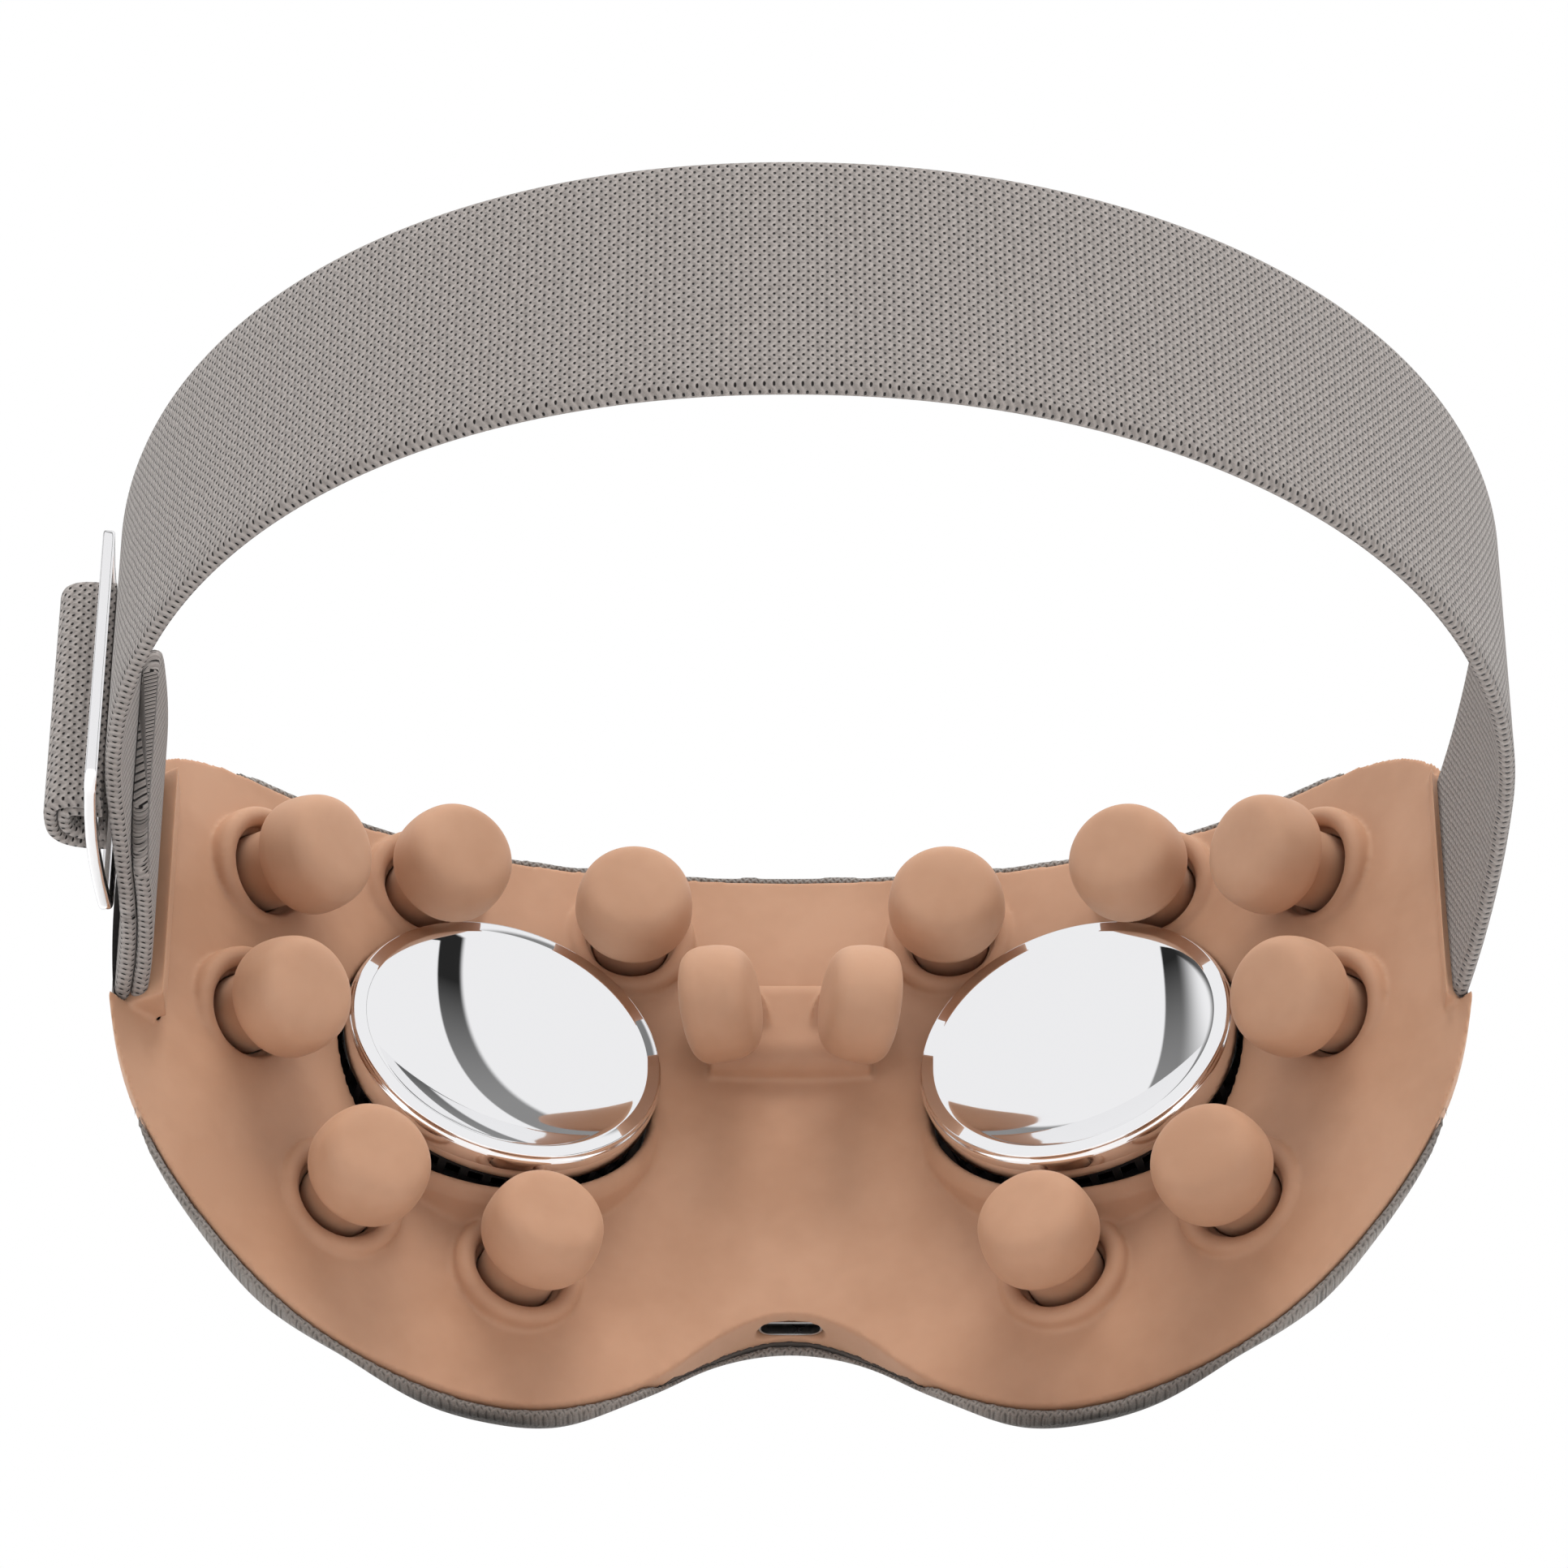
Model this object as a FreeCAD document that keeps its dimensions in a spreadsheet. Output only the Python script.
import FreeCAD, Part
import Sketcher
import math
import os

# Eye massager mask, millimetres.
# X runs from the temple that carries the buckle to the other temple, Y points forward away from
# the wearer's face and Z points up. The origin is the middle of the flat control plate on the front.

os.makedirs("parts", exist_ok=True)
doc = FreeCAD.newDocument("eye_massager_mask")
V = FreeCAD.Vector
UP = V(0, 0, 1)
FORWARD = V(0, 1, 0)

# ---------------------------------------------------------------- driving dimensions
SIZES = [
    # face pad and shell
    ("pad_bend", 118), ("pad_depth", 38), ("pad_skin", 3.0), ("frame_sheet", 2.2), ("frame_inset", 8),
    ("front_bend", 100), ("front_proud", 0.8), ("dome_slope", 1.6), ("rim_deep", 2.8),
    ("cover_sheet", 1.2), ("cover_rim", 1.4),
    ("shell_sheet", 2.0), ("fit_gap", 0.1), ("nose_lip", 5.0), ("lip_sheet", 2.6),
    ("lip_bend", 26.4),
    # massage nodes
    ("cap_radius", 8.35), ("cap_half", 5.25), ("cap_top_radius", 5.2), ("cap_foot_radius", 6.4),
    ("cap_dome_bend", 34), ("cap_edge_bend", 3.4), ("cap_side_bend", 16), ("cap_foot_bend", 2.6),
    ("stem_radius", 5.5), ("stem_end", 13.9), ("collar_drop", 10), ("collar_bead", 1.5),
    ("collar_radius", 7.9), ("recess_radius", 6.75), ("guide_radius", 8.3), ("guide_floor", 15.6),
    ("guide_end", 17.2), ("rod_radius", 2.5), ("rod_head", 4.0), ("rod_head_half", 1.0), ("rod_end", 17.9),
    ("rod_clearance", 0.05), ("press_gap", 0.02), ("actuator_radius", 4.5), ("actuator_start", 19.6),
    ("actuator_end", 21.0), ("nose_extra", 3.5),
    # eye cups and what cools them
    ("cup_radius", 23.0), ("cup_rim", 20.5), ("dish_depth", 5.55), ("cup_sheet", 1.3),
    ("cup_edge", 0.7), ("cup_deep", 4.6), ("cup_x", 39.7), ("cup_y", 52.5), ("cup_z", 4.4),
    ("cup_yaw", 18.7), ("cup_pitch", 9.3),
    ("vent_radius", 22.2), ("vent_sheet", 1.2), ("vent_tall", 7.0), ("vent_foot", 23.4), ("vent_count", 42),
    ("window_wide", 2.1), ("window_tall", 2.3), ("window_drop", 1.0), ("tile_side", 20), ("tile_thick", 3.2),
    ("sink_side", 28), ("sink_base", 2.0), ("sink_fins", 7), ("fin_tall", 5.5), ("fin_thick", 1.0),
    ("fan_side", 30), ("fan_thick", 6.0), ("fan_bore", 13.8), ("hub_radius", 6.0), ("blade_reach", 13.2),
    ("blade_count", 9), ("blade_thick", 0.8), ("spoke_wide", 2.0), ("spoke_thick", 1.0),
    # electronics
    ("board_wide", 58), ("board_tall", 20), ("board_z", 4), ("board_thick", 1.6), ("board_y", 12.6), ("battery_wide", 24),
    ("battery_tall", 40), ("battery_thick", 8), ("battery_y", 27), ("plate_wide", 50), ("plate_tall", 16),
    ("plate_thick", 4.5), ("button_radius", 5), ("button_x", 14), ("button_recess", 0.3), ("button_gap", 0.15),
    ("button_thick", 1.8), ("button_stem", 2), ("button_travel", 0.8), ("switch_side", 6),
    ("usb_wide", 8.94), ("usb_thick", 3.2), ("usb_wall", 0.3), ("usb_deep", 7.3), ("usb_mouth_z", 32.3),
    ("usb_y", 34.0), ("tongue_wide", 6.7), ("tongue_thick", 0.7),
    # straps and slide buckle
    ("band_wide", 38), ("band_thick", 2.2), ("band_mid_z", 10), ("band_half_right", 93.9),
    ("band_half_left", 88.8), ("band_reach", 83), ("band_round_y", 122), ("band_start_y", 87),
    ("slot_right", 91.94), ("slot_left", 88.8), ("buckle_tall", 44),
    ("buckle_long", 30), ("buckle_bar", 2.2), ("buckle_thick", 1.6), ("buckle_bend", 130), ("buckle_x", 92.0),
    ("buckle_y", 117),
    # fasteners
    ("screw_radius", 1.1), ("screw_long", 7),
]


def make_sheet():
    """Spreadsheet with one row per driving dimension."""
    table = doc.addObject("Spreadsheet::Sheet", "sizes")
    for row, (name, value) in enumerate(SIZES, start=1):
        table.set("A%d" % row, name)
        table.set("B%d" % row, str(value))
        table.setAlias("B%d" % row, name)
    doc.recompute()
    return table


sheet = make_sheet()


def size(name):
    return float(sheet.get(name))


def value(expression):
    """Number that a sheet expression such as 'cap_half - 2 * press_gap' stands for."""
    return float(sheet.evalExpression(sheet_terms(expression)))


def sheet_terms(expression):
    """Same expression with every alias written as sizes.alias, as other objects must write it."""
    words = expression.split()
    names = [name for name, _ in SIZES]
    return " ".join("sizes." + word if word in names else word for word in words)


sub_parts = []


def keep(thing, label, placement=None):
    """Register a finished sub-part under its label and put it in its place."""
    thing.Label = label
    if placement is not None:
        thing.Placement = placement
    sub_parts.append(thing)
    return thing


def keep_shape(label, shape):
    """Sub-part whose shape is made with Part functions from sheet sizes."""
    feature = doc.addObject("Part::Feature", label)
    feature.Shape = shape
    return keep(feature, label)


# ---------------------------------------------------------------- sketch and body helpers
def origin_plane(body, role):
    return next(item for item in body.Origin.OriginFeatures if item.Role == role)


def new_sketch(body, name, role):
    sketch = body.newObject("Sketcher::SketchObject", name)
    sketch.AttachmentSupport = [(origin_plane(body, role), "")]
    sketch.MapMode = "FlatFace"
    return sketch


def edge_between(start, end, bend, turn):
    """Straight edge, or the shorter arc of radius bend (turn 1 counter-clockwise, -1 clockwise)."""
    if bend is None:
        return Part.LineSegment(start, end)
    chord = end - start
    left = V(-chord.y, chord.x, 0).normalize()
    rise = bend - math.sqrt(bend * bend - chord.Length ** 2 / 4)
    middle = (start + end) * 0.5 - left * (turn * rise)
    return Part.Arc(start, middle, end)


def hold(sketch, kind, index, position, expression):
    """Bind one coordinate of a sketch point to a sheet expression."""
    number = value(expression)
    if abs(number) < 1e-9:
        axis = -2 if kind == "DistanceX" else -1
        sketch.addConstraint(Sketcher.Constraint("PointOnObject", index, position, axis))
        return
    row = sketch.addConstraint(Sketcher.Constraint(kind, -1, 1, index, position, number))
    sketch.setExpression("Constraints[%d]" % row, sheet_terms(expression))


def draw_outline(sketch, corners):
    """Closed outline through corners (x, y) or (x, y, bend, turn), all held at sheet expressions."""
    points = [V(value(corner[0]), value(corner[1]), 0) for corner in corners]
    edges = []
    for number, corner in enumerate(corners):
        start = points[number - 1]
        bend = value(corner[2]) if len(corner) > 2 else None
        turn = corner[3] if len(corner) > 2 else 0
        edges.append(sketch.addGeometry(edge_between(start, points[number], bend, turn), False))
    for number, corner in enumerate(corners):
        here = edges[number]
        after = edges[(number + 1) % len(edges)]
        end = end_at(sketch, here, points[number])
        sketch.addConstraint(
            Sketcher.Constraint("Coincident", here, end, after, end_at(sketch, after, points[number]))
        )
        hold(sketch, "DistanceX", here, end, corner[0])
        hold(sketch, "DistanceY", here, end, corner[1])
        if len(corner) > 2:
            row = sketch.addConstraint(Sketcher.Constraint("Radius", here, value(corner[2])))
            sketch.setExpression("Constraints[%d]" % row, sheet_terms(corner[2]))


def end_at(sketch, index, point):
    """Which end of a sketch edge lies on the point: 1 for its start, 2 for its end."""
    return 1 if sketch.getPoint(index, 1).distanceToPoint(point) < 1e-4 else 2


def turned_body(name, corners):
    """Body turned around its own Z axis from an outline in its XZ plane (x is the radius)."""
    body = doc.addObject("PartDesign::Body", name)
    sketch = new_sketch(body, name + "_outline", "XZ_Plane")
    draw_outline(sketch, corners)
    turn = body.newObject("PartDesign::Revolution", name + "_turn")
    turn.Profile = sketch
    turn.ReferenceAxis = (sketch, ["V_Axis"])
    turn.Angle = 360
    sketch.Visibility = False
    return body


def padded_body(name, corners, length, role="XY_Plane", midplane=False):
    """Body padded from an outline; length is a sheet expression."""
    body = doc.addObject("PartDesign::Body", name)
    sketch = new_sketch(body, name + "_outline", role)
    draw_outline(sketch, corners)
    pad = body.newObject("PartDesign::Pad", name + "_pad")
    pad.Profile = sketch
    pad.setExpression("Length", sheet_terms(length))
    pad.Midplane = midplane
    return body


def rectangle(half_x, half_y):
    return [
        (half_x, "-1 * ( " + half_y + " )"),
        (half_x, half_y),
        ("-1 * ( " + half_x + " )", half_y),
        ("-1 * ( " + half_x + " )", "-1 * ( " + half_y + " )"),
    ]


def circle_cut(body, name, radius, role="XY_Plane"):
    """Round hole through the whole body, centred on its origin."""
    sketch = new_sketch(body, name + "_circle", role)
    index = sketch.addGeometry(Part.Circle(V(0, 0, 0), UP, value(radius)), False)
    sketch.addConstraint(Sketcher.Constraint("Coincident", index, 3, -1, 1))
    row = sketch.addConstraint(Sketcher.Constraint("Radius", index, value(radius)))
    sketch.setExpression("Constraints[%d]" % row, sheet_terms(radius))
    cut = body.newObject("PartDesign::Pocket", name)
    cut.Profile = sketch
    cut.Type = "ThroughAll"
    cut.Midplane = True
    return cut


# ---------------------------------------------------------------- directions and places
def aimed(yaw, pitch):
    """Unit vector toward the face, turned yaw degrees to +X and pitch degrees up."""
    side = math.radians(yaw)
    lift = math.radians(pitch)
    return V(math.sin(side) * math.cos(lift), -math.cos(side) * math.cos(lift), math.sin(lift))


def mirrored(vector):
    return V(-vector.x, vector.y, vector.z)


def along(point, direction):
    """Placement whose Z axis runs along the direction, with its X axis kept level."""
    level = UP.cross(direction).normalize()
    rotation = FreeCAD.Rotation(level, V(0, 0, 0), direction, "ZXY")
    return FreeCAD.Placement(point, rotation)


# Middle of each left cap, and the yaw and pitch of its travel toward the face.
NODES = {
    "brow_inner": (V(-22.2, -51.7, 29.0), 4, -6),
    "brow_outer": (V(-47.4, -59.8, 30.2), 27, -9),
    "temple_upper": (V(-65.8, -71.2, 22.8), 50, -10),
    "temple_lower": (V(-67.9, -73.0, -3.2), 43, -14),
    "cheek_outer": (V(-56.9, -65.6, -26.0), 27, -5),
    "cheek_inner": (V(-33.6, -54.8, -29.2), 22, 3),
}
NOSE_CAP = V(-9.2, -53.0, 10.0)
NOSE_HEAD_YAW = 76
NOSE_TRAVEL_PITCH = -25
SIDES = (("left", 1), ("right", -1))


def on_side(vector, sign):
    """Left-hand vector, or its mirror image on the right."""
    return vector if sign > 0 else mirrored(vector)


def node_places(sign):
    """Name, cap middle and travel direction of the six round-face nodes of one side."""
    for name, (middle, yaw, pitch) in NODES.items():
        yield name, on_side(middle, sign), on_side(aimed(yaw, pitch), sign)


def all_travels(sign):
    """The six nodes of one side plus its nose node, which travels back and up into the nose bar."""
    yield from node_places(sign)
    yield "nose", on_side(NOSE_CAP, sign), aimed(0, NOSE_TRAVEL_PITCH)


def deeper(name):
    """How much further back than the others a node's rod, guide and actuator reach."""
    return size("nose_extra") if name == "nose" else 0


def cup_place(sign, depth=0.0):
    """Placement on the axis of an eye cup, depth millimetres behind its rim."""
    axis = on_side(aimed(size("cup_yaw"), size("cup_pitch")), sign)
    rim = on_side(V(-size("cup_x"), -size("cup_y"), size("cup_z")), sign)
    return along(rim - axis * depth, axis)


# ---------------------------------------------------------------- outline of the mask
# Right half of the outline seen from the front, from the top middle down to the nose arch.
HALF_OUTLINE = [
    (0, 42.7), (22, 42.1), (45, 40.7), (68, 39.9), (80, 39.2), (87.5, 35.6), (91.4, 28.5), (93.1, 18), (93.4, 5),
    (92.8, -8), (90.4, -20), (86.4, -28.3), (80, -35.8), (71.5, -42.8), (62, -47.6), (52, -50.4), (43.5, -51.6),
    (34, -50.8), (25, -47.6), (18, -43.6), (12.5, -38.8), (6.5, -34.2), (0, -32.4),
]


def outline_curve():
    """Closed smooth curve of the pad's edge, drawn flat in the XZ plane."""
    right = [V(x, 0, z) for x, z in HALF_OUTLINE]
    left = [V(-x, 0, z) for x, z in reversed(HALF_OUTLINE[1:-1])]
    curve = Part.BSplineCurve()
    curve.interpolate(Points=right + left, PeriodicFlag=True)
    return curve


EDGE_CURVE = outline_curve()
EDGE_SAMPLES = 48


def edge_points(offset):
    """Points of the outline moved outward by offset."""
    first, last = EDGE_CURVE.FirstParameter, EDGE_CURVE.LastParameter
    points = []
    for number in range(EDGE_SAMPLES):
        at = first + (last - first) * number / EDGE_SAMPLES
        tangent = EDGE_CURVE.tangent(at)[0]
        outward = V(-tangent.z, 0, tangent.x)
        points.append(EDGE_CURVE.value(at) + outward * offset)
    return points


def mask_prism(offset):
    """The outline moved outward by offset, drawn out along Y through the whole mask."""
    curve = Part.BSplineCurve()
    curve.interpolate(Points=edge_points(offset), PeriodicFlag=True)
    face = Part.Face(Part.Wire([curve.toShape()]))
    face.translate(V(0, -140, 0))
    return face.extrude(FORWARD * 150)


def pad_drum(depth):
    """Everything within the pad's bend, depth millimetres in front of the pad's face side."""
    middle = V(0, -size("pad_depth") - size("pad_bend"), -90)
    return Part.makeCylinder(size("pad_bend") + depth, 180, middle, UP)


def pad_face_y(x, depth=0.0):
    bend = size("pad_bend") + depth
    return -size("pad_depth") - size("pad_bend") + math.sqrt(bend * bend - x * x)


def front_y(x, z, rim):
    """Front of the fabric: rises from the cover's edge with the dome slope, then levels out."""
    near_nose = math.exp(-(x / 16) ** 2) if z < 0 else 0.0
    foot = pad_face_y(x, size("rim_deep")) + size("nose_lip") * near_nose
    bend = size("front_bend")
    flat = -bend + math.sqrt(max(bend * bend - x * x, 0.0)) - size("front_proud")
    rise = max(flat - foot, 4.0)
    reach = 2 * rise / size("dome_slope")
    inward = distance_inside(x, z, rim)
    share = min(inward / reach, 1.0)
    return foot + rise * (2 * share - share * share)


def distance_inside(x, z, rim):
    """Distance from the outline, positive inside it and negative outside."""
    nearest = min(math.hypot(x - point.x, z - point.z) for point in rim)
    return nearest if inside(x, z, rim) else -nearest


def inside(x, z, rim):
    """Even-odd test of a point against the outline."""
    result = False
    before = rim[-1]
    for point in rim:
        if (point.z > z) != (before.z > z):
            crossing = before.x + (z - before.z) * (point.x - before.x) / (point.z - before.z)
            if x < crossing:
                result = not result
        before = point
    return result


FIELD_HALF = 103.0
FIELD_LOW = -67.0
FIELD_HIGH = 49.0
FIELD_COLUMNS = 21
FIELD_ROWS = 15


def clamped_knots(poles):
    """Knot multiplicities and knots of an evenly spaced cubic curve with this many poles."""
    spans = poles - 3
    return [4] + [1] * (spans - 1) + [4], [float(knot) for knot in range(spans + 1)]


def front_field():
    """Smooth sheet through the front of the fabric over the whole outline."""
    rim = edge_points(size("cover_rim"))
    rows = []
    for row in range(FIELD_ROWS):
        z = FIELD_LOW + (FIELD_HIGH - FIELD_LOW) * row / (FIELD_ROWS - 1)
        line = []
        for column in range(FIELD_COLUMNS):
            x = -FIELD_HALF + 2 * FIELD_HALF * column / (FIELD_COLUMNS - 1)
            line.append(V(x, front_y(x, z, rim), z))
        rows.append(line)
    row_counts, row_knots = clamped_knots(FIELD_ROWS)
    column_counts, column_knots = clamped_knots(FIELD_COLUMNS)
    surface = Part.BSplineSurface()
    surface.buildFromPolesMultsKnots(
        rows, row_counts, column_counts, row_knots, column_knots, False, False, 3, 3
    )
    return surface.toShape()


FRONT_SHEET = front_field()


def behind_front(drop):
    """Everything behind the fabric's front, drop millimetres further back."""
    sheet_face = FRONT_SHEET.copy()
    sheet_face.translate(V(0, -drop, 0))
    return sheet_face.extrude(V(0, -150, 0))


# ---------------------------------------------------------------- pad, frame, shell and cover
def node_cutter(middle, direction, radius, start, end):
    """Cylinder on a node's axis between two drops below the cap's middle."""
    return Part.makeCylinder(radius, end - start, middle - direction * end, direction)


SKIRT_TALL = 4.0
SKIRT_FLARE = 3.7


def collar(middle, direction):
    """Round bead about one node on a skirt that runs out into the pad, with a crease between them."""
    radius = size("collar_radius")
    bead_drop = size("collar_drop") + size("collar_bead")
    ring = Part.makeTorus(radius, size("collar_bead"), middle - direction * bead_drop, direction)
    skirt_foot = middle - direction * (bead_drop + SKIRT_TALL + 0.9)
    skirt = Part.makeCone(radius + SKIRT_FLARE, radius + 0.4, SKIRT_TALL, skirt_foot, direction)
    return ring.fuse(skirt)


def nose_bar():
    """Rounded bar across the nose that carries the two nose nodes."""
    low, high, half, proud = 7.4, 22.2, 11.5, 4.8
    face = -size("pad_depth")
    block = Part.makeBox(2 * half, proud + 2, high - low, V(-half, face - proud, low))
    rounded = [edge for edge in block.Edges if edge.BoundBox.YMax < face - proud + 0.1]
    return block.makeFillet(3.5, rounded)


def nose_lip():
    """Wall of the pad that turns forward along the nose arch and carries the port's mouth."""
    arch = mask_prism(0).cut(mask_prism(-size("lip_sheet")))
    return arch.common(lip_drum(0)).cut(pad_drum(0))


def lip_drum(extra):
    """Round plan of the lip: deepest in the middle of the nose arch, nothing at its sides."""
    bend = size("lip_bend") + extra
    front = -size("pad_depth") + size("pad_skin") + size("nose_lip") - 0.6
    return Part.makeCylinder(bend, 38, V(0, front - size("lip_bend"), -60), UP)


def cup_hole(sign, radius, start, end):
    place = cup_place(sign, end)
    return Part.makeCylinder(radius, end - start, place.Base, place.Rotation.multVec(UP))


STRAP_PLAY = 0.3     # mm beside the strap
SLOT_SIDE = 96       # mm from the middle, outside the pad


def strap_slot(sign, extra=0.0):
    """Notch for a strap end in the pad's temple edge, open to the side."""
    layers, middle_x = (2, -size("slot_left")) if sign > 0 else (1, size("slot_right"))
    inner = abs(middle_x) - layers * size("band_thick") / 2 - STRAP_PLAY - extra
    wide = SLOT_SIDE - inner
    tall = size("band_wide") + 1 + extra
    start_x = -SLOT_SIDE if sign > 0 else inner
    return Part.makeBox(wide, 30, tall, V(start_x, -90, size("band_mid_z") - tall / 2))


def usb_mouth():
    """Slot for the plug and room for the port, sunk up into the nose arch from below."""
    wide, thick = size("usb_wide") + 0.6, size("usb_thick") + 0.5
    return stadium(wide, thick, V(0, -size("usb_y"), -60), 36)


def stadium(wide, thick, start, long):
    """Bar of rounded-rectangle section that stands up along Z from start."""
    radius = thick / 2
    box = Part.makeBox(wide - thick, thick, long, start - V(wide / 2 - radius, radius, 0))
    ends = [Part.makeCylinder(radius, long, start + V(side * (wide / 2 - radius), 0, 0), UP) for side in (-1, 1)]
    return box.multiFuse(ends).removeSplitter()


def make_face_pad():
    """Silicone skin with a collar and a recess for each node, cup holes, strap notches and port mouth."""
    body = mask_prism(0).common(pad_drum(size("pad_skin"))).cut(pad_drum(0))
    drum = pad_drum(size("pad_skin"))
    inside_edge = mask_prism(0)
    raised = [nose_lip(), nose_bar().common(drum)]
    for _, sign in SIDES:
        for _, middle, direction in node_places(sign):
            raised.append(collar(middle, direction).common(drum).common(inside_edge))
    body = body.multiFuse(raised)
    cutters = []
    for _, sign in SIDES:
        for name, middle, direction in all_travels(sign):
            radius = 4.6 if name == "nose" else size("recess_radius")
            start = 5.0 if name == "nose" else size("collar_drop") - 4
            cutters.append(node_cutter(middle, direction, radius, start, 24))
        cutters.append(cup_hole(sign, size("vent_foot") + size("fit_gap"), -2, 26))
        cutters.append(strap_slot(sign))
    cutters.append(usb_mouth())
    body = body.cut(cutters)
    keep_shape("face_pad", solid_of(body))


def solid_of(shape):
    """The largest solid of a result, without split faces."""
    return max(shape.removeSplitter().Solids, key=lambda solid: solid.Volume)


def make_inner_frame():
    """Rigid sheet under the pad with a guide cup for each node."""
    gap = size("fit_gap")
    top = size("pad_skin") + gap
    outer = pad_drum(top + size("frame_sheet"))
    body = mask_prism(-size("frame_inset")).common(outer).cut(pad_drum(top))
    guides, holes = [], []
    shell_room = behind_front(size("cover_sheet") + size("shell_sheet") + 3 * gap)
    for _, sign in SIDES:
        for name, middle, direction in all_travels(sign):
            is_nose = name == "nose"
            outer_radius = 6.0 if is_nose else size("guide_radius")
            pocket = 4.6 if is_nose else size("recess_radius")
            guides.append(node_cutter(middle, direction, outer_radius, 12, size("guide_end") + deeper(name)))
            holes.append(node_cutter(middle, direction, pocket, 4, size("guide_floor")))
            holes.append(node_cutter(middle, direction, size("rod_radius") + size("rod_clearance"), 4, 30))
            holes.append(node_cutter(middle, direction, size("actuator_radius") + gap,
                                     size("actuator_start") + deeper(name) - gap, 30))
    edge = mask_prism(-size("shell_sheet") - 2 * gap)
    shaped = guides[0].multiFuse(guides[1:]).cut(pad_drum(top)).common(edge)
    body = body.fuse(shaped).common(shell_room)
    for _, sign in SIDES:
        holes.append(cup_hole(sign, size("vent_radius") + gap, -2, 40))
        holes.append(cup_hole(sign, size("vent_foot") + gap, -2, size("cup_deep") + size("vent_tall") + 2 * gap))
        holes.append(strap_slot(sign, 0.5))
    holes.append(lip_drum(0.2))
    for place in screw_places():
        holes.append(Part.makeCylinder(size("screw_radius") + gap, 12, place - FORWARD * 4, FORWARD))
    body = body.cut(holes)
    keep_shape("inner_frame", solid_of(body))


def usb_clear():
    """Room for the port through the shell."""
    wide, thick = size("usb_wide") + 1.6, size("usb_thick") + 1.6
    return stadium(wide, thick, V(0, -size("usb_y"), -60), 40)


POST_RADIUS = 2.6
POST_REACH = 60      # mm, longer than any post before it is cut off at the shell's front


def make_shell_and_cover():
    """Rigid shell with its screw posts, and the knitted cover stretched over it and round the pad's edge."""
    gap = size("fit_gap")
    skin = size("cover_sheet")
    wall = skin + gap + size("shell_sheet")
    pad_room = pad_drum(size("pad_skin") + gap)
    outer = behind_front(skin + gap).common(mask_prism(0)).cut(pad_room)
    cavity = behind_front(wall).common(mask_prism(-size("shell_sheet")))
    shell = outer.cut(cavity).cut([plate_hole(2 * gap), usb_clear(), lip_drum(0.2)])
    posts, bores = [], []
    for place in screw_places():
        start = place + FORWARD * (size("frame_sheet") + 1.2)
        posts.append(Part.makeCylinder(POST_RADIUS, POST_REACH, start, FORWARD))
        bores.append(Part.makeCylinder(size("screw_radius"), size("screw_long"), place - FORWARD, FORWARD))
    for _, sign in SIDES:
        for name, middle, direction in all_travels(sign):
            radius = 6.0 if name == "nose" else size("guide_radius")
            bores.append(node_cutter(middle, direction, radius + gap, 8, size("guide_end") + gap))
            bores.append(node_cutter(middle, direction, size("rod_radius") + gap, 8, size("actuator_start")))
    posts = posts[0].multiFuse(posts[1:]).common(behind_front(skin + gap))
    keep_shape("front_shell", solid_of(shell.fuse(posts).cut(bores)))
    cloth = behind_front(0).common(mask_prism(size("cover_rim"))).cut([pad_drum(0.6), lip_drum(0.2)])
    cloth = cloth.cut(mask_prism(gap).common(pad_room))
    filler = behind_front(skin).common(mask_prism(gap))
    keep_shape("fabric_cover", solid_of(cloth.cut(filler).cut([plate_hole(2 * gap), usb_mouth()])))


def screw_places():
    """Heads of the screws that hold the frame to the shell, on the frame's face side."""
    places = []
    for x, z in ((6.5, 30), (47, -42)):
        for side in (-1, 1):
            places.append(V(side * x, pad_face_y(x, size("pad_skin") + size("fit_gap")), z))
    return places


# ---------------------------------------------------------------- control plate and button
def pill(half_long, radius, thick, front):
    """Flat pill-shaped plate whose front lies at y = front."""
    bar = Part.makeBox(2 * (half_long - radius), thick, 2 * radius, V(radius - half_long, front - thick, -radius))
    ends = [
        Part.makeCylinder(radius, thick, V(side * (half_long - radius), front - thick, 0), FORWARD)
        for side in (-1, 1)
    ]
    return bar.multiFuse(ends).removeSplitter()


def plate_hole(extra):
    return pill(size("plate_wide") / 2 + extra, size("plate_tall") / 2 + extra, 12, 2)


def make_controls():
    plate = pill(size("plate_wide") / 2, size("plate_tall") / 2, size("plate_thick"), 0)
    bore = Part.makeCylinder(
        size("button_radius") + size("button_gap"), 12, V(size("button_x"), -11, 0), FORWARD
    )
    keep_shape("control_plate", plate.cut(bore))
    button = turned_body("power_button", [
        ("0", "0"),
        ("0", "-1 * ( board_y - button_travel - switch_side / 2 - button_recess - 0.85 )"),
        ("button_stem", "-1 * ( board_y - button_travel - switch_side / 2 - button_recess - 0.85 )"),
        ("button_stem", "-1 * button_thick"),
        ("button_radius", "-1 * button_thick"),
        ("button_radius", "-0.4"),
        ("button_radius - 0.4", "0", "0.5", 1),
    ])
    front = V(size("button_x"), -size("button_recess"), 0)
    keep(button, "power_button", along(front, FORWARD))
    switch = doc.addObject("Part::Box", "button_switch")
    for side in ("Length", "Width"):
        switch.setExpression(side, "sizes.switch_side")
    switch.setExpression("Height", "sizes.switch_side / 2")
    half = size("switch_side") / 2
    corner = V(size("button_x") - half, -size("board_y"), half)
    keep(switch, "button_switch", FreeCAD.Placement(corner, FreeCAD.Rotation(V(1, 0, 0), -90)))


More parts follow.
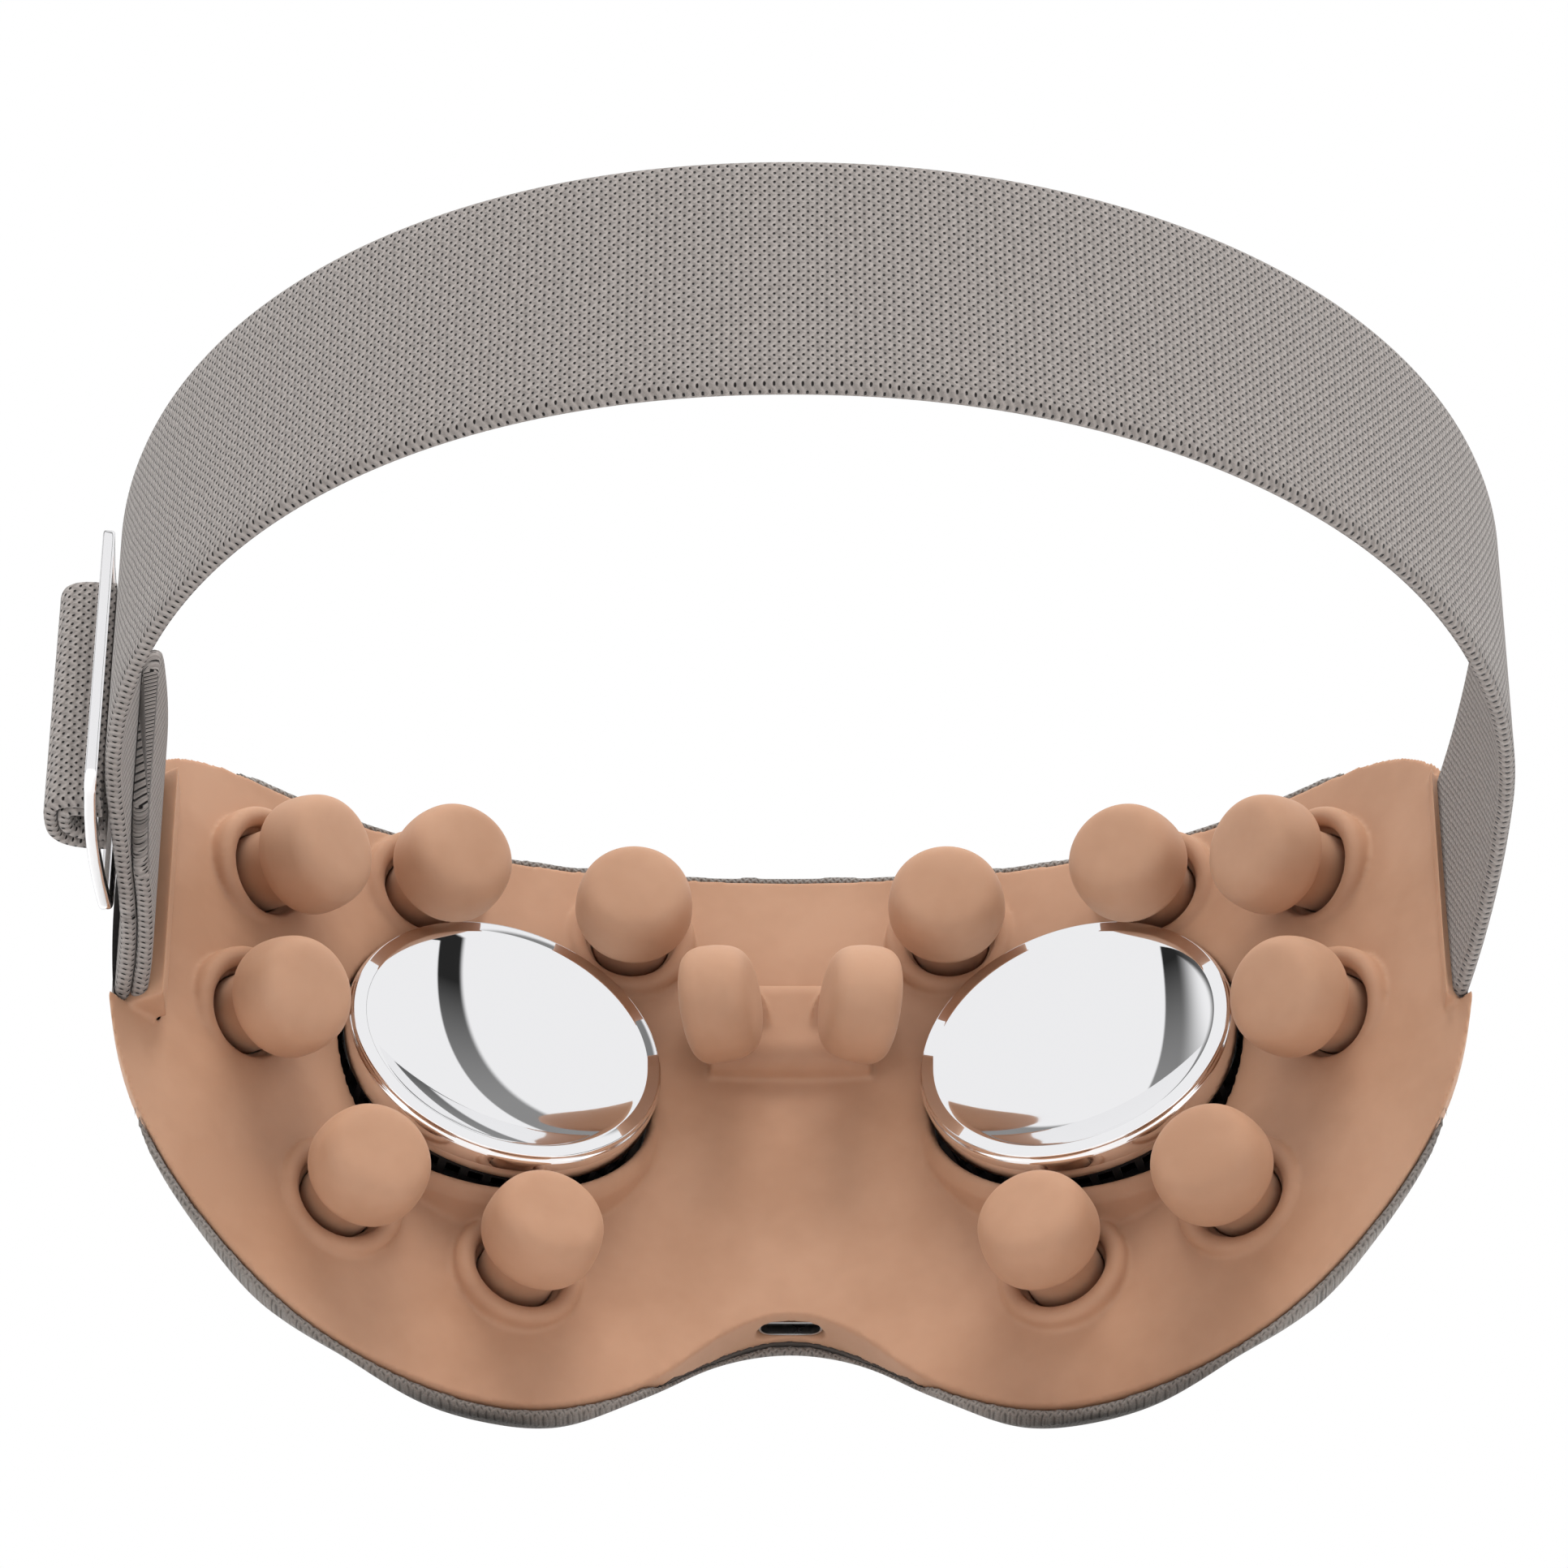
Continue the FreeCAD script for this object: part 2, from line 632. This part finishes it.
# ---------------------------------------------------------------- massage nodes
CAP_PROFILE = [
    ("0", "rod_head_half + press_gap"),
    ("rod_head + press_gap", "rod_head_half + press_gap"),
    ("rod_head + press_gap", "-1 * ( rod_head_half + press_gap )"),
    ("rod_radius + press_gap", "-1 * ( rod_head_half + press_gap )"),
    ("rod_radius + press_gap", "-1 * stem_end"),
    ("stem_radius", "-1 * stem_end"),
    ("stem_radius", "-1 * cap_half"),
    ("cap_foot_radius", "-1 * cap_half"),
    ("cap_radius", "-1 * ( cap_half - 2.4 )", "cap_foot_bend", 1),
    ("cap_radius - 0.45", "cap_half - 3.3", "cap_side_bend", 1),
    ("cap_top_radius", "cap_half - 0.4", "cap_edge_bend", 1),
    ("0", "cap_half", "cap_dome_bend", 1),
]


def make_node_cap(side, name, middle, direction):
    body = turned_body("node_cap_%s_%s" % (name, side), CAP_PROFILE)
    keep(body, body.Name, along(middle, direction))


def make_node_rod(side, name, middle, direction):
    """Rigid rod in the cap: a head held in the silicone and a shank that slides in the frame."""
    body = turned_body("node_rod_%s_%s" % (name, side), [
        ("0", "rod_head_half"),
        ("0", "-1 * rod_end"),
        ("rod_radius", "-1 * rod_end"),
        ("rod_radius", "-1 * rod_head_half"),
        ("rod_head", "-1 * rod_head_half"),
        ("rod_head", "rod_head_half"),
    ])
    keep(body, body.Name, along(middle, direction))


def make_nose_cap(side, sign):
    """Cap turned to face the side of the nose, on a stem that runs back and up into the bar."""
    middle = on_side(NOSE_CAP, sign)
    travel = aimed(0, NOSE_TRAVEL_PITCH)
    facing = on_side(aimed(NOSE_HEAD_YAW, 0), sign)
    profile = [edge_between(a, b, bend, turn).toShape() for a, b, bend, turn in head_edges()]
    flat = Part.Face(Part.Wire(profile)).rotated(V(0, 0, 0), V(1, 0, 0), 90)
    head = flat.revolve(V(0, 0, 0), UP, 360)
    head.Placement = along(middle, facing)
    stem = node_cutter(middle, travel, 3.6, 0, size("stem_end"))
    rod = node_cutter(middle, travel, size("rod_radius") + size("press_gap"), -2, size("stem_end") + 1)
    keep_shape("node_cap_nose_" + side, solid_of(head.fuse(stem).cut(rod)))


def head_edges():
    """Edges of the closed mushroom head, without stem or socket, in the XZ plane."""
    half, radius = size("cap_half"), size("cap_radius")
    corners = [
        (0, -half, None, 0),
        (size("cap_foot_radius"), -half, None, 0),
        (radius, 2.4 - half, size("cap_foot_bend"), 1),
        (radius - 0.45, half - 3.3, size("cap_side_bend"), 1),
        (size("cap_top_radius"), half - 0.4, size("cap_edge_bend"), 1),
        (0, half, size("cap_dome_bend"), 1),
    ]
    before = corners[-1]
    for corner in corners:
        yield V(before[0], before[1], 0), V(corner[0], corner[1], 0), corner[2], corner[3]
        before = corner


def make_nodes():
    """Caps, rods and the actuators behind them, which are trimmed to the room inside the shell."""
    margin = size("shell_sheet") + size("fit_gap")
    cavity = behind_front(size("cover_sheet") + size("fit_gap") + margin).common(mask_prism(-margin))
    for side, sign in SIDES:
        for name, middle, direction in node_places(sign):
            make_node_cap(side, name, middle, direction)
            make_node_rod(side, name, middle, direction)
        make_nose_cap(side, sign)
        rod = node_cutter(on_side(NOSE_CAP, sign), aimed(0, NOSE_TRAVEL_PITCH), size("rod_radius"), -1.9,
                          size("rod_end") + deeper("nose"))
        keep_shape("node_rod_nose_" + side, rod)
        pucks = [
            node_cutter(middle, direction, size("actuator_radius"), size("actuator_start") + deeper(name),
                        size("actuator_end") + deeper(name))
            for name, middle, direction in all_travels(sign)
        ]
        pucks = [puck.common(cavity) for puck in pucks]
        keep_shape("node_actuators_" + side, Part.makeCompound([solid_of(puck) for puck in pucks]))


# ---------------------------------------------------------------- eye cups and cooling
def make_eye_cup(side, sign):
    """Concave mirror disc with a flat rim and a straight side wall."""
    dish_bend = "( cup_rim * cup_rim + dish_depth * dish_depth ) / ( 2 * dish_depth )"
    body = turned_body("eye_cup_" + side, [
        ("0", "-1 * dish_depth", dish_bend, -1),
        ("0", "-1 * ( dish_depth + cup_sheet )"),
        ("cup_rim", "-1 * cup_sheet", dish_bend, 1),
        ("cup_radius - cup_sheet", "-1 * cup_sheet"),
        ("cup_radius - cup_sheet", "-1 * cup_deep"),
        ("cup_radius", "-1 * cup_deep"),
        ("cup_radius", "-1 * cup_edge"),
        ("cup_radius - cup_edge", "0", "cup_edge", 1),
        ("cup_rim", "0"),
    ])
    keep(body, body.Name, cup_place(sign))


def make_vent_ring(side, sign):
    """Black ring under the cup: a windowed wall on a foot that sits on the frame."""
    name = "vent_ring_" + side
    body = turned_body(name, [
        ("vent_radius - vent_sheet", "0"),
        ("vent_radius - vent_sheet", "-1 * vent_tall"),
        ("vent_foot", "-1 * vent_tall"),
        ("vent_foot", "-1 * ( vent_tall - vent_sheet )"),
        ("vent_radius", "-1 * ( vent_tall - vent_sheet )"),
        ("vent_radius", "0"),
    ])
    doc.recompute()
    whole_ring = body.Tip.Shape.Volume
    sketch = new_sketch(body, name + "_window", "XZ_Plane")
    top = "-1 * window_drop"
    bottom = "-1 * ( window_drop + window_tall )"
    half = "window_wide / 2"
    draw_outline(sketch, [(half, bottom), (half, top), ("-1 * " + half, top), ("-1 * " + half, bottom)])
    window = body.newObject("PartDesign::Pocket", name + "_cut")
    window.Profile = sketch
    window.setExpression("Length", "sizes.vent_radius + 1")
    doc.recompute()
    if window.Shape.Volume > whole_ring - 0.1:
        window.Reversed = True
    pattern = body.newObject("PartDesign::PolarPattern", name + "_windows")
    pattern.Originals = [window]
    pattern.Axis = (sketch, ["V_Axis"])
    pattern.Angle = 360
    pattern.setExpression("Occurrences", "sizes.vent_count")
    pattern.Refine = False
    body.Tip = pattern
    keep(body, name, cup_place(sign, size("cup_deep") + size("fit_gap")))


def make_cooling(side, sign):
    """Thermoelectric tile, finned heat sink, fan frame and rotor stacked behind the cup."""
    gap = size("fit_gap")
    tile_drop = size("dish_depth") + size("cup_sheet") + gap + size("tile_thick")
    tile = padded_body("cooling_tile_" + side, rectangle("tile_side / 2", "tile_side / 2"), "tile_thick")
    keep(tile, tile.Name, cup_place(sign, tile_drop))
    sink_drop = tile_drop + gap + size("sink_base")
    keep(heat_sink("heat_sink_" + side), "heat_sink_" + side, cup_place(sign, sink_drop))
    fan_drop = sink_drop + size("fin_tall") + gap + size("fan_thick")
    keep(fan_frame("fan_frame_" + side), "fan_frame_" + side, cup_place(sign, fan_drop))
    rotor_drop = fan_drop - size("spoke_thick") - 2 * gap
    keep(fan_rotor("fan_rotor_" + side), "fan_rotor_" + side, cup_place(sign, rotor_drop))


def heat_sink(name):
    """Base plate with straight fins that point away from the cup."""
    body = padded_body(name, rectangle("sink_side / 2", "sink_side / 2"), "sink_base")
    sketch = new_sketch(body, name + "_fin", "XY_Plane")
    draw_outline(sketch, [
        ("sink_side / 2", "-1 * sink_side / 2"),
        ("sink_side / 2", "fin_thick - sink_side / 2"),
        ("-1 * sink_side / 2", "fin_thick - sink_side / 2"),
        ("-1 * sink_side / 2", "-1 * sink_side / 2"),
    ])
    fin = body.newObject("PartDesign::Pad", name + "_fin_pad")
    fin.Profile = sketch
    fin.setExpression("Length", "sizes.fin_tall")
    fin.Reversed = True
    pattern = body.newObject("PartDesign::LinearPattern", name + "_fins")
    pattern.Originals = [fin]
    pattern.Direction = (sketch, ["V_Axis"])
    pattern.setExpression("Length", "sizes.sink_side - sizes.fin_thick")
    pattern.setExpression("Occurrences", "sizes.sink_fins")
    body.Tip = pattern
    return body


def fan_frame(name):
    """Square fan housing, open right through, with a cross of spokes and a pin at its back."""
    body = padded_body(name, rectangle("fan_side / 2", "fan_side / 2"), "fan_thick")
    circle_cut(body, name + "_bore", "fan_bore")
    for number, half in enumerate((("fan_bore + 0.5", "spoke_wide / 2"), ("spoke_wide / 2", "fan_bore + 0.5"))):
        sketch = new_sketch(body, "%s_spoke_%d" % (name, number), "XY_Plane")
        draw_outline(sketch, rectangle(*half))
        spoke = body.newObject("PartDesign::Pad", "%s_spoke_pad_%d" % (name, number))
        spoke.Profile = sketch
        spoke.setExpression("Length", "sizes.spoke_thick")
    sketch = new_sketch(body, name + "_pin", "XY_Plane")
    index = sketch.addGeometry(Part.Circle(V(0, 0, 0), UP, 1.0), False)
    sketch.addConstraint(Sketcher.Constraint("Coincident", index, 3, -1, 1))
    sketch.addConstraint(Sketcher.Constraint("Radius", index, 1.0))
    pin = body.newObject("PartDesign::Pad", name + "_pin_pad")
    pin.Profile = sketch
    pin.setExpression("Length", "sizes.fan_thick - 1.2")
    return body


def fan_rotor(name):
    """Hub with a bore for the pin and a ring of flat blades."""
    body = doc.addObject("PartDesign::Body", name)
    hub_sketch = new_sketch(body, name + "_hub", "XY_Plane")
    for radius in ("hub_radius", "1.06"):
        index = hub_sketch.addGeometry(Part.Circle(V(0, 0, 0), UP, value(radius)), False)
        hub_sketch.addConstraint(Sketcher.Constraint("Coincident", index, 3, -1, 1))
        row = hub_sketch.addConstraint(Sketcher.Constraint("Radius", index, value(radius)))
        hub_sketch.setExpression("Constraints[%d]" % row, sheet_terms(radius))
    hub = body.newObject("PartDesign::Pad", name + "_hub_pad")
    hub.Profile = hub_sketch
    hub.setExpression("Length", "sizes.fan_thick - sizes.spoke_thick - 0.6")
    blade_sketch = new_sketch(body, name + "_blade", "XY_Plane")
    draw_outline(blade_sketch, [
        ("hub_radius - 0.5", "-1 * blade_thick / 2"),
        ("blade_reach", "2 - blade_thick / 2"),
        ("blade_reach", "2 + blade_thick / 2"),
        ("hub_radius - 0.5", "blade_thick / 2"),
    ])
    blade = body.newObject("PartDesign::Pad", name + "_blade_pad")
    blade.Profile = blade_sketch
    blade.setExpression("Length", "sizes.fan_thick - sizes.spoke_thick - 0.8")
    pattern = body.newObject("PartDesign::PolarPattern", name + "_blades")
    pattern.Originals = [blade]
    pattern.Axis = (hub_sketch, ["N_Axis"])
    pattern.Angle = 360
    pattern.setExpression("Occurrences", "sizes.blade_count")
    body.Tip = pattern
    return body


# ---------------------------------------------------------------- electronics
def make_electronics():
    board = padded_body("main_board", rectangle("board_wide / 2", "board_tall / 2"), "board_thick")
    back = V(0, -size("board_y") - size("board_thick") - 0.05, size("board_z"))
    keep(board, "main_board", along(back, FORWARD))
    battery = padded_body("battery", rectangle("battery_wide / 2", "battery_tall / 2"), "battery_thick")
    keep(battery, "battery", along(V(0, -size("battery_y"), 3), FORWARD))
    mouth = V(0, -size("usb_y"), -size("usb_mouth_z"))
    outer = stadium(size("usb_wide"), size("usb_thick"), mouth, size("usb_deep"))
    inner = stadium(
        size("usb_wide") - 2 * size("usb_wall"), size("usb_thick") - 2 * size("usb_wall"),
        mouth, size("usb_deep") - size("usb_wall"),
    )
    keep_shape("usb_port_shell", outer.cut(inner))
    tongue = doc.addObject("Part::Box", "usb_port_tongue")
    tongue.setExpression("Length", "sizes.tongue_wide")
    tongue.setExpression("Width", "sizes.tongue_thick")
    tongue.setExpression("Height", "sizes.usb_deep - sizes.usb_wall - 0.9")
    corner = mouth + V(-size("tongue_wide") / 2, -size("tongue_thick") / 2, 0.9)
    keep(tongue, "usb_port_tongue", FreeCAD.Placement(corner, FreeCAD.Rotation()))


def make_screws():
    """Four identical headless screws that hold the frame to the posts of the shell."""
    screws = []
    for place in screw_places():
        shank = Part.makeCylinder(
            size("screw_radius") - 0.02, size("screw_long") - 1.8, place + FORWARD * 0.7, FORWARD
        )
        screws.append(shank)
    keep_shape("frame_screws", Part.makeCompound(screws))


# ---------------------------------------------------------------- straps and buckle
BAND_STEPS = 32
BAND_FRONT = 0.1          # share of the band's length in front of each end of its round part
BAND_FULL_RIGHT = 0.985   # 1 is a plain ellipse, less is squarer
BAND_FULL_LEFT = 0.952
BAND_LEAN_RIGHT = 0.0016  # mm of lean toward the mask per mm squared
BAND_LEAN_LEFT = 0.004
BAND_LEAN_START = 18      # mm of straight run inside the buckle before the left lean starts


def band_plan(share):
    """Plan point of the band's middle line, from its right end (share 0) to its left end (share 1)."""
    round_y, start_y = size("band_round_y"), size("band_start_y")
    half_right, half_left = size("band_half_right"), size("band_half_left")
    if share < BAND_FRONT:
        ahead = (round_y - start_y) * (1 - share / BAND_FRONT)
        return V(half_right - BAND_LEAN_RIGHT * ahead ** 2, ahead - round_y, 0)
    if share > 1 - BAND_FRONT:
        ahead = (round_y - start_y) * (1 - (1 - share) / BAND_FRONT)
        lean = BAND_LEAN_LEFT * max(0, ahead - BAND_LEAN_START) ** 2
        return V(-half_left - lean, ahead - round_y, 0)
    angle = math.pi * (share - BAND_FRONT) / (1 - 2 * BAND_FRONT)
    right = angle < math.pi / 2
    half = half_right if right else half_left
    fullness = BAND_FULL_RIGHT if right else BAND_FULL_LEFT
    across = math.copysign(abs(math.cos(angle)) ** fullness, math.cos(angle))
    back = max(0, math.sin(angle)) ** fullness
    return V(half * across, -round_y - size("band_reach") * back, 0)


def band_point(share, offset):
    """Point of the band's plan, moved outward from the middle line by the offset."""
    step = 0.004
    ahead = band_plan(min(share + step, 1)) - band_plan(max(share - step, 0))
    outward = V(-ahead.y, ahead.x, 0).normalize()
    return band_plan(share) + outward * offset


def strap_solid(outer_points, inner_points, tall):
    """Upright strap between two plan curves."""
    curves = []
    for points in (outer_points, inner_points):
        curve = Part.BSplineCurve()
        curve.interpolate(Points=points)
        curves.append(curve.toShape())
    ends = [
        Part.makeLine(outer_points[-1], inner_points[-1]),
        Part.makeLine(inner_points[0], outer_points[0]),
    ]
    face = Part.Face(Part.Wire(Part.__sortEdges__(curves + ends)))
    face.translate(V(0, 0, size("band_mid_z") - tall / 2))
    return face.extrude(UP * tall)


def band_run(offset_in, offset_out, first, last, steps, tall):
    """Length of strap that follows the head band's plan at the given offsets."""
    shares = [first + (last - first) * number / steps for number in range(steps + 1)]
    outer = [band_point(share, offset_out) for share in shares]
    inner = [band_point(share, offset_in) for share in shares]
    return strap_solid(outer, inner, tall)


def make_straps():
    half = size("band_thick") / 2
    keep_shape("head_band", band_run(-half, half, 0.0, 0.97, BAND_STEPS, size("band_wide")))
    layer = size("band_thick") + 0.2
    tail = band_run(-half - layer, -half - 0.2, 0.926, 0.985, 5, size("band_wide"))
    front = band_run(-half - layer, half, 0.974, 1.0, 3, size("band_wide"))
    keep_shape("anchor_strap", solid_of(tail.fuse(front)))


def buckle_point(y, offset):
    """Point of the buckle's curved plan, offset outward from its middle line."""
    bend = size("buckle_bend")
    centre = V(bend - size("buckle_x"), -size("buckle_y"), 0)
    angle = (y + size("buckle_y")) / bend
    return centre + V(-math.cos(angle), math.sin(angle), 0) * (bend + offset)


def buckle_run(y_back, y_front, tall, z_middle):
    """Curved bar of the buckle between two places along its length."""
    half = size("buckle_thick") / 2
    steps = [y_back + (y_front - y_back) * number / 6 for number in range(7)]
    outer = [buckle_point(y, half) for y in steps]
    inner = [buckle_point(y, -half) for y in steps]
    solid = strap_solid(outer, inner, tall)
    solid.translate(V(0, 0, z_middle - size("band_mid_z")))
    return solid


def make_buckle():
    """Slide buckle: a rounded frame with a hidden bar across its middle."""
    tall, bar, z = size("buckle_tall"), size("buckle_bar"), size("band_mid_z")
    back = -size("buckle_y") - size("buckle_long") / 2
    front = -size("buckle_y") + size("buckle_long") / 2
    frame = buckle_run(back, front, tall, z)
    window = tall - 2 * bar
    middle = centre_bar_y()
    rear_window = buckle_window(back + bar, middle - bar / 2, window, z)
    front_window = buckle_window(middle + bar / 2, front - bar, window, z)
    frame = frame.cut([rear_window, front_window])
    corners = [edge for edge in frame.Edges if is_outer_corner(edge, back, front, tall, z)]
    keep_shape("slider_buckle", frame.makeFillet(3.0, corners))


def centre_bar_y():
    return -size("buckle_y") - size("buckle_long") / 2 + 14


def buckle_window(y_back, y_front, tall, z):
    """Opening through the buckle, drawn thick enough to cut its whole sheet."""
    return Part.makeBox(20, y_front - y_back, tall, V(-size("buckle_x") - 12, y_back, z - tall / 2))


def is_outer_corner(edge, back, front, tall, z):
    """True for the short edges through the sheet at the buckle's four outer corners."""
    box = edge.BoundBox
    at_end = box.YMax < back + 0.6 or box.YMin > front - 0.6
    at_side = abs(abs(box.Center.z - z) - tall / 2) < 0.01
    return at_end and at_side and box.ZLength < 0.01 and edge.Length < 2 * size("buckle_thick")


def make_strap_loop():
    """Fold of strap round the buckle's middle bar: its legs pass through both windows."""
    bar_y, plane_x = centre_bar_y(), -size("buckle_x")
    tall = size("buckle_tall") - 2 * size("buckle_bar") - 1.6
    leg, rise, layers = 5.2, 6.2, 3.0
    inner_x = plane_x + size("buckle_thick") / 2 + 0.5
    shares = ((-1.0, None), (-1.0, 0.35), (-0.72, 0.86), (0.0, 1.0), (0.72, 0.86), (1.0, 0.35), (1.0, None))
    curves = []
    for half, height in ((leg, rise), (leg - layers, rise - layers)):
        curves.append([
            V(inner_x if up is None else plane_x - height * up, bar_y + half * along, 0) for along, up in shares
        ])
    keep_shape("strap_loop", strap_solid(curves[0], curves[1], tall))


def make_strap_anchors():
    """Clips sunk in the pad's slots that hold the strap ends."""
    for side, sign in SIDES:
        ring = pad_drum(size("pad_skin")).common(mask_prism(-0.6)).cut(pad_drum(0.8))
        keep_shape("strap_anchor_" + side, solid_of(strap_slot(sign, -0.4).common(ring)))


# ---------------------------------------------------------------- build, check, write
make_face_pad()
make_inner_frame()
make_shell_and_cover()
make_controls()
make_nodes()
for side_name, side_sign in SIDES:
    make_eye_cup(side_name, side_sign)
    make_vent_ring(side_name, side_sign)
    make_cooling(side_name, side_sign)
make_electronics()
make_screws()
make_straps()
make_buckle()
make_strap_loop()
make_strap_anchors()
doc.recompute()

for item in doc.Objects:
    if "Invalid" in item.State or "Error" in item.State:
        raise RuntimeError("%s did not recompute: %s" % (item.Label, item.State))
for item in sub_parts:
    if item.Shape.isNull() or not item.Shape.isValid():
        raise RuntimeError("%s has no valid shape" % item.Label)
for item in sub_parts:
    item.Shape.exportStep("parts/%s.step" % item.Label)
print(len(sub_parts), "parts written")
